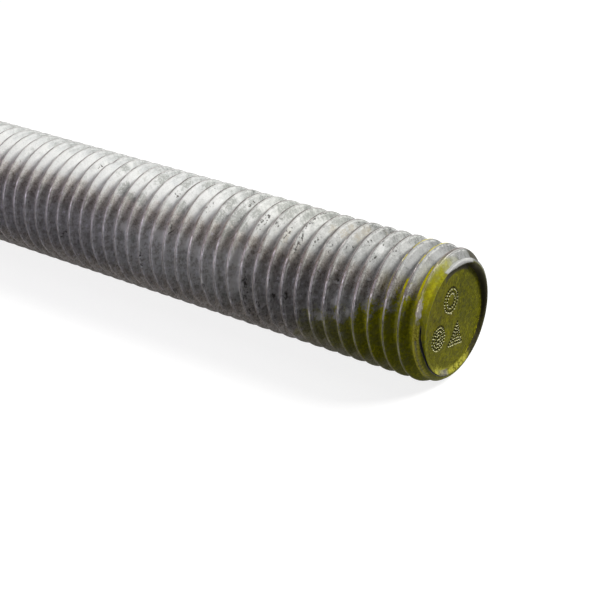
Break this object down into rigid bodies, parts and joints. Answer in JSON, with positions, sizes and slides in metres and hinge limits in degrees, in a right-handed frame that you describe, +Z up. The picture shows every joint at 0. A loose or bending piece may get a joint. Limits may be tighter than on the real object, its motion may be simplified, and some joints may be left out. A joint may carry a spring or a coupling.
{
  "type": "threaded rod",
  "caption": "Hot-dip galvanised steel rod with a coarse right-hand thread over its whole length, chamfered ends, and paint on its dished, marked end.",
  "frame": {"origin": "middle of the rod, on its axis", "axes": "+X along the rod's axis, out of the marked and painted end; +Z up as the rod lies in its default view; X is the long direction"},
  "size_m": [0.3, 0.024, 0.024],
  "materials": {
    "galvanised_steel": "matte"
  },
  "bodies": {
    "root": {"threaded_rod": "galvanised_steel"}
  },
  "joints": []
}
